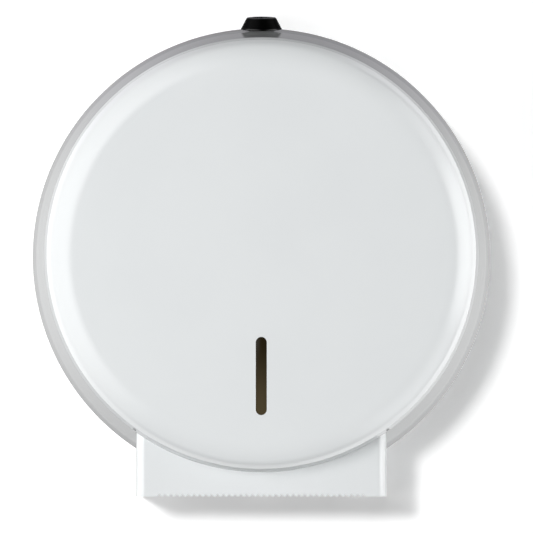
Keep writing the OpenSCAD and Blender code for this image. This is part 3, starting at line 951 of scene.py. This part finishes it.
@dataclass
class Chute:
    """The paper outlet with its tear edge. Sizes in mm."""

    width: float = 193.5
    sheet: float = 1.2
    front: float = 103.85
    back: float = 0.7
    foot: float = -187.0
    head: float = -120.0
    bend_r: float = 7.0
    bend_steps: int = 14
    tooth_pitch: float = 4.5
    tooth_depth: float = 2.1
    tooth_flat: float = 1.9
    tip_inset: float = 0.05
    teeth: int = 36
    ear_r: float = 4.5
    hinge_depth: float = 5.2
    bush_hole_r: float = 3.11
    weld_lap: float = 4.0
    weld_r: float = 164.217
    weld_end: float = 117.0
    weld_inset: float = 13.0

    def plan(self, inset: float, front: float, back: float) -> list[Vector]:
        """Outline of the chute seen from above, with its two bends, inset from its outside."""
        half, bend = self.width / 2 - inset, self.bend_r - inset
        centre = half - bend
        quarter = [math.pi / 2 * i / self.bend_steps for i in range(self.bend_steps + 1)]
        right = [(centre + bend * math.cos(a), front - bend + bend * math.sin(a)) for a in quarter]
        left = [(-x, d) for x, d in reversed(right)]
        return [Vector((x * MM, -d * MM, self.foot * MM))
                for x, d in [(half, back), *right, *left, (-half, back)]]

    def trim(self, drum: Drum) -> Piece:
        """The solid inside the drum that the chute's top is trimmed to."""
        start, end = -1.0, self.front + 1
        inside, flange = self.front - self.sheet, self.weld_r - self.sheet
        rim = [(drum.band_r(depth) - self.sheet - self.weld_lap, depth) for depth in (start, inside)]
        return Bench.drum_turned("chute_trim", [(0, start), *rim, (flange, inside), (flange, end), (0, end)])

    def tear_punch(self) -> Piece:
        """The saw-toothed tool that punches the tear edge."""
        left = -self.teeth * self.tooth_pitch / 2
        tip = self.foot + self.tip_inset
        depth = self.front - self.sheet - 2
        flat = [(left, self.foot - 2), (left, tip)]
        for i in range(self.teeth):
            middle = left + (i + 0.5) * self.tooth_pitch
            reach = (self.tooth_pitch - self.tooth_flat) / 2
            flat += [(middle - reach, tip), (middle, tip + self.tooth_depth), (middle + reach, tip)]
        flat += [(-left, tip), (-left, self.foot - 2)]
        corners = [Vector((x * MM, -depth * MM, z * MM)) for x, z in flat]
        return Bench.prism("tear_punch", corners, Vector((0, -6 * MM, 0)))

    def build(self, dresser: Dresser, drum: Drum) -> None:
        """Builds the chute."""
        rise = Vector((0, 0, (self.head - self.foot) * MM))
        piece = Bench.prism("tear_chute", self.plan(0, self.front, self.back), rise)
        inside = self.plan(self.sheet, self.front - self.sheet, self.back - 3)
        hollow = Bench.prism("chute_hollow", [p - Vector((0, 0, 3 * MM)) for p in inside],
                             rise + Vector((0, 0, 6 * MM)))
        Bench.cut(piece, hollow)
        Bench.cut(piece, self.trim(drum))
        Bench.cut(piece, self.weld_flange(), "UNION")
        half = self.width / 2 + 5
        ear_z = self.foot + self.ear_r
        heel = Bench.block("heel_saw", (-half, -self.hinge_depth, self.foot - 2), (half, 3, ear_z))
        keep = Bench.rod("ear_round", self.ear_r, 2 * half + 4, (0, -self.hinge_depth, ear_z), Axis.X, 64)
        Bench.cut(heel, keep)
        Bench.cut(piece, heel)
        Bench.cut(piece, Bench.rod("bush_drill", self.bush_hole_r, 2 * half,
                                   (0, -self.hinge_depth, ear_z), Axis.X))
        Bench.cut(piece, self.tear_punch())
        Bench.clean(piece, CUT_GAP)
        Bench.ease(piece, 0.16, 50)
        Bench.smooth(piece, 32, flats=True)
        dresser.dress(piece, Body.COVER, Slot.POWDER_COAT, "chute")

    def weld_flange(self) -> Piece:
        """The curved flange that is welded inside the pan."""
        inside, flange = self.front - self.sheet, self.weld_r - self.sheet
        ring = Bench.drum_turned("weld_flange", [(flange, inside), (self.weld_r, inside),
                                                 (self.weld_r, self.weld_end), (flange, self.weld_end)], 192)
        half = self.width / 2 - self.weld_inset
        Bench.cut(ring, Bench.block("flange_saw", (-half, -140, -200), (half, 0, 0)), "INTERSECT")
        return ring


@dataclass
class Lock:
    """The key lock on top of the drum. Sizes in mm, in the lock's own frame."""

    depth: float = 21.0
    base_r: float = 16.0
    top_r: float = 11.5
    height: float = 10.0
    stem_r: float = 10.0
    stem_len: float = 11.5
    barrel_r: float = 6.5
    run_gap: float = 0.06
    key_w: float = 3.2
    key_len: float = 9.4
    key_depth: float = 6.0
    screw_r: float = 2.05

    def place(self) -> Matrix:
        """Where the lock's frame stands on the side wall."""
        foot = Vector((0, -self.depth, WALL_R - math.tan(TAPER) * self.depth)) * MM
        return Matrix.Translation(foot) @ Matrix.Rotation(TAPER, 4, "X")

    def body(self) -> Piece:
        """Models the lock's black body."""
        bore = self.barrel_r + self.run_gap
        base, top = self.base_r, self.top_r
        piece = Bench.upright_turned("lock_body", [
            (bore, -self.stem_len), (self.stem_r, -self.stem_len), (self.stem_r, 0.05), (base - 4.2, 0.05),
            (base - 0.5, 0.62), (base - 0.12, 0.8), (base, 1.05), (base, 1.3), (base - 0.14, 1.62),
            (base - 0.5, 2.1), (top + 0.42, self.height - 1.0), (top + 0.16, self.height - 0.55),
            (top - 0.16, self.height - 0.18), (top - 0.6, self.height), (bore + 0.25, self.height),
            (bore, self.height - 0.25)], 128)
        piece.data.transform(self.place())
        Bench.clean(piece)
        Bench.smooth(piece, 32)
        return piece

    def barrel(self) -> Piece:
        """Models the barrel with its key slot and square stub."""
        foot = -self.stem_len - 0.2
        top = self.height - 0.4
        piece = Bench.upright_turned("key_barrel", [
            (0, foot), (self.barrel_r, foot), (self.barrel_r, top - 0.5), (self.barrel_r - 0.15, top - 0.15),
            (self.barrel_r - 0.5, top), (0, top)], 96)
        half = self.barrel_r / 2
        Bench.cut(piece, Bench.block("stub", (-half, -half, foot - 2), (half, half, foot + 1)), "UNION")
        slot = Bench.obround("key_slot", self.key_w, self.key_len, 0, (-20, 20), 10)
        slot.data.transform(Matrix.Translation((0, 0, (self.height - self.key_depth + 20) * MM))
                            @ Matrix.Rotation(math.pi / 2, 4, "X"))
        Bench.cut(piece, slot)
        Bench.cut(piece, Bench.rod("screw_hole", self.screw_r, 9, (0, 0, foot - 2 + 3.5), Axis.Z, 32))
        piece.data.transform(self.place())
        Bench.clean(piece, CUT_GAP)
        Bench.ease(piece, 0.12, 50)
        Bench.smooth(piece, 32, flats=True)
        return piece

    def build(self, dresser: Dresser) -> None:
        """Builds the lock's pieces."""
        dresser.dress(self.body(), Body.COVER, Slot.BLACK, "lock_housing")
        dresser.dress(self.barrel(), Body.LOCK, Slot.BLACK, "lock_barrel")
        dresser.refine(Body.COVER, Slot.ZINC, ("lock_nut", "lock_ring_nut", 0.2))
        dresser.refine(Body.LOCK, Slot.ZINC, ("lock_cam", "latch_cam", 0.15), ("cam_screw", "cam_bolt", 0))


class WallFrame:
    """What hangs on the wall: plate, hinge with its bushes, post with its hub, and striker."""

    @staticmethod
    def build(dresser: Dresser) -> None:
        """Builds the frame's pieces."""
        dresser.refine(Body.WALL_FRAME, Slot.POWDER_COAT, ("back_plate", "wall_plate", 0.3))
        dresser.refine(
            Body.WALL_FRAME, Slot.ZINC,
            ("hinge_leaf", "hinge_knuckles", 0.15), ("hinge_rivets", "knuckle_rivets", 0),
            ("hinge_rod", "hinge_pin", 0.15), ("rod_clips", "pin_clips", 0.08),
            ("spindle_post", "hub_post", 0.2), ("spindle_rivets", "post_rivets", 0),
            ("hub_washer", "end_washer", 0.2), ("hub_screw", "end_screw", 0.15),
            ("latch_striker", "latch_bracket", 0.15), ("striker_rivets", "bracket_rivets", 0))
        dresser.refine(Body.COVER, Slot.NYLON, ("hinge_bushes", "pin_bushes", 0.1))
        dresser.refine(Body.HUB, Slot.HUB_GREY, ("roll_hub", "turning_hub", 0.3))


# Studio


@dataclass
class Studio:
    """Camera, lamps and the white wall.

    Attributes:
        scale: Millimetres of the wall plane to a pixel.
        frame_px: Width of the picture.
        axis_px: Where the drum's axis meets the wall in the picture.
        distance: Distance of the camera in metres.
        rise: How far the camera looks up, in degrees.
        sensor: Width of its sensor in mm.
    """

    scale: float = 0.7863
    frame_px: float = 533.0
    axis_px: Point = (261.4, 257.0)
    distance: float = 6.0
    rise: float = 1.0
    sensor: float = 36.0

    def camera(self) -> None:
        """Sets up the camera in front of the wall."""
        middle = self.frame_px / 2
        target = Vector(((middle - self.axis_px[0]) * self.scale, 0,
                         (self.axis_px[1] - middle) * self.scale)) * MM
        tilt = math.radians(self.rise)
        back = Vector((0, -math.cos(tilt), -math.sin(tilt)))
        data = bpy.data.cameras.new("camera")
        data.sensor_width = self.sensor
        data.lens = self.sensor * self.distance / (self.frame_px * self.scale * MM)
        data.clip_start, data.clip_end = 0.1, 60.0
        camera = bpy.data.objects.new("camera", data)
        camera.location = target + back * self.distance
        camera.rotation_mode = "QUATERNION"
        camera.rotation_quaternion = (-back).to_track_quat("-Z", "Y")
        bpy.context.scene.collection.objects.link(camera)
        bpy.context.scene.camera = camera

    @staticmethod
    def lamp(name: str, kind: str, energy: float, place: Sequence[float],
             **settings: object) -> Piece:
        """Adds a lamp that shines from a place to the drum's axis and that no gloss mirrors."""
        data = bpy.data.lights.new(name, kind)
        data.energy = energy
        for key, value in settings.items():
            setattr(data, key, value)
        lamp = bpy.data.objects.new(name, data)
        lamp.location = place
        lamp.rotation_euler = (Vector() - Vector(place)).to_track_quat("-Z", "Y").to_euler()
        lamp.visible_glossy = False
        bpy.context.scene.collection.objects.link(lamp)
        return lamp

    @staticmethod
    def linked(name: str, state: str, *pieces: str) -> bpy.types.Collection:
        """Collects the pieces that a lamp keeps to, with INCLUDE, or spares, with EXCLUDE."""
        group = bpy.data.collections.new(name)
        for piece in pieces:
            group.objects.link(bpy.data.objects[piece])
        for entry in group.collection_objects:
            entry.light_linking.link_state = state
        return group

    @classmethod
    def sun(cls, name: str, energy: float, degrees: float, place: Sequence[float],
            lit: bpy.types.Collection | None = None) -> Piece:
        """Adds a distant lamp of a width in degrees, that only what is lit receives."""
        lamp = cls.lamp(name, "SUN", energy, place, angle=math.radians(degrees))
        if lit is not None:
            lamp.light_linking.receiver_collection = lit
        return lamp

    def lights(self) -> None:
        """Adds the key lamp, whose shadow falls to the lower right, and soft fills, one of them behind."""
        wall = self.linked("only_the_wall", "INCLUDE", "studio_wall")
        chute = self.linked("only_the_chute", "INCLUDE", "tear_chute")
        no_wall = self.linked("all_but_the_wall", "EXCLUDE", "studio_wall")
        no_chute = self.linked("all_but_the_chute", "EXCLUDE", "tear_chute")
        key = self.sun("key", 1.71, 7, (-0.27, -1.0, 0.172), no_chute)
        self.lamp("left_fill", "AREA", 7.3, (-1.2, -0.8, 0.0), shape="RECTANGLE", size=0.8, size_y=1.2)
        self.sun("right_fill", 1.15, 40, (1.0, -0.35, -0.05), no_wall)
        self.sun("low_fill", 0.11, 40, (0.1, -1.0, -0.75))
        self.sun("back_fill", 1.9, 1, (0.05, 1.0, 0.08))
        self.sun("chute_fill", 1.83, 40, (-0.6, -1.0, 0.1), chute)
        wall_key = self.sun("wall_key", 0.25, 7, (-0.17, -1.0, 0.185), wall)
        self.sun("wall_fill", 0.28, 40, (-1.0, -0.6, -0.5), wall)
        shading = self.linked("all_but_the_lock", "EXCLUDE", "lock_body", "key_barrel")
        for lamp in (key, wall_key):
            lamp.light_linking.blocker_collection = shading

    @staticmethod
    def card(finish: Finish, name: str, size: float, depth: float, *unseen: str) -> None:
        """Adds an upright square card behind the object.

        Args:
            finish: Its surface.
            name: Its name.
            size: Its width and height in metres.
            depth: Its place behind the wall plane in metres.
            unseen: The kinds of ray that don't see it.
        """
        Bench.clear()
        bpy.ops.mesh.primitive_plane_add(size=1, location=(0, depth, 0), rotation=(math.pi / 2, 0, 0))
        bpy.context.object.scale = (size, size, 1)
        card = Bench.settle(name)
        card.data.materials.append(finish.make())
        for ray in unseen:
            setattr(card, f"visible_{ray}", False)

    def backdrop(self) -> None:
        """Adds the wall behind the object and the card before it that the gloss mirrors."""
        self.card(StudioWall("studio_wall_white"), "studio_wall", 8, 0.0006)
        self.card(ShadeCard("shade_card_grey"), "shade_card", 7.8, 0.0003,
                  "camera", "diffuse", "shadow", "transmission", "volume_scatter")

    @staticmethod
    def world(top: float = 0.04, level: float = 0.24, box: float = 4.2, right_edge: float = 2.8) -> None:
        """Sets the soft light round the object, which is dim above, and the white background.

        The gloss also mirrors two softboxes, one on either side.

        Args:
            top: Radiance from above.
            level: Radiance from all round.
            box: Radiance of each softbox.
            right_edge: Radiance round the right one, far out.
        """
        world = bpy.data.worlds.new("studio")
        bpy.context.scene.world = world
        world.use_nodes = True
        tree = ShaderTree(world.node_tree)
        mirrored = tree.ray("Glossy").highest(tree.ray("Transmission"))
        across, away, up = tree.split(tree.add("ShaderNodeTexCoord", out="Generated"))
        off_axis = (across * across + up * up) ** 0.5
        fill = level + tree.ramp(up, 0.0, 0.7) * (top - level)
        leftward = (up * 0.259 - across * 0.966) / off_axis
        rightward = (up * 0.087 + across) / off_axis
        lower_right = (across - up * 0.087) / off_axis
        boxes = (tree.ramp(leftward, 0.25, 1.0) * tree.ramp(off_axis, 0.09, 0.46) * box
                 + tree.ramp(rightward, 0.88, 1.0) * tree.ramp(off_axis, 0.36, 0.64) * box
                 + tree.ramp(lower_right, 0.42, 0.8) * tree.ramp(off_axis, 0.36, 0.85) * right_edge)
        white = tree.ray("Camera").highest(mirrored * away.above(0.0))
        glow = fill + mirrored * boxes
        strength = glow + white * (1 - glow)
        shader = tree.add("ShaderNodeBackground", {"Color": grey(1.0), "Strength": strength})
        tree.node("ShaderNodeOutputWorld", {"Surface": shader})

    def build(self) -> None:
        """Sets up the whole studio."""
        self.camera()
        self.backdrop()
        self.world()
        bpy.context.scene.view_settings.view_transform = "Standard"
        self.lights()


def main() -> None:
    """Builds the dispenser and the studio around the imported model."""
    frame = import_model()
    dresser = Dresser(frame)
    dresser.paint()
    drum = Drum()
    drum.build(dresser)
    Chute().build(dresser, drum)
    Lock().build(dresser)
    WallFrame.build(dresser)
    Studio().build()
    Bench.clear()


if __name__ == "__main__":
    main()
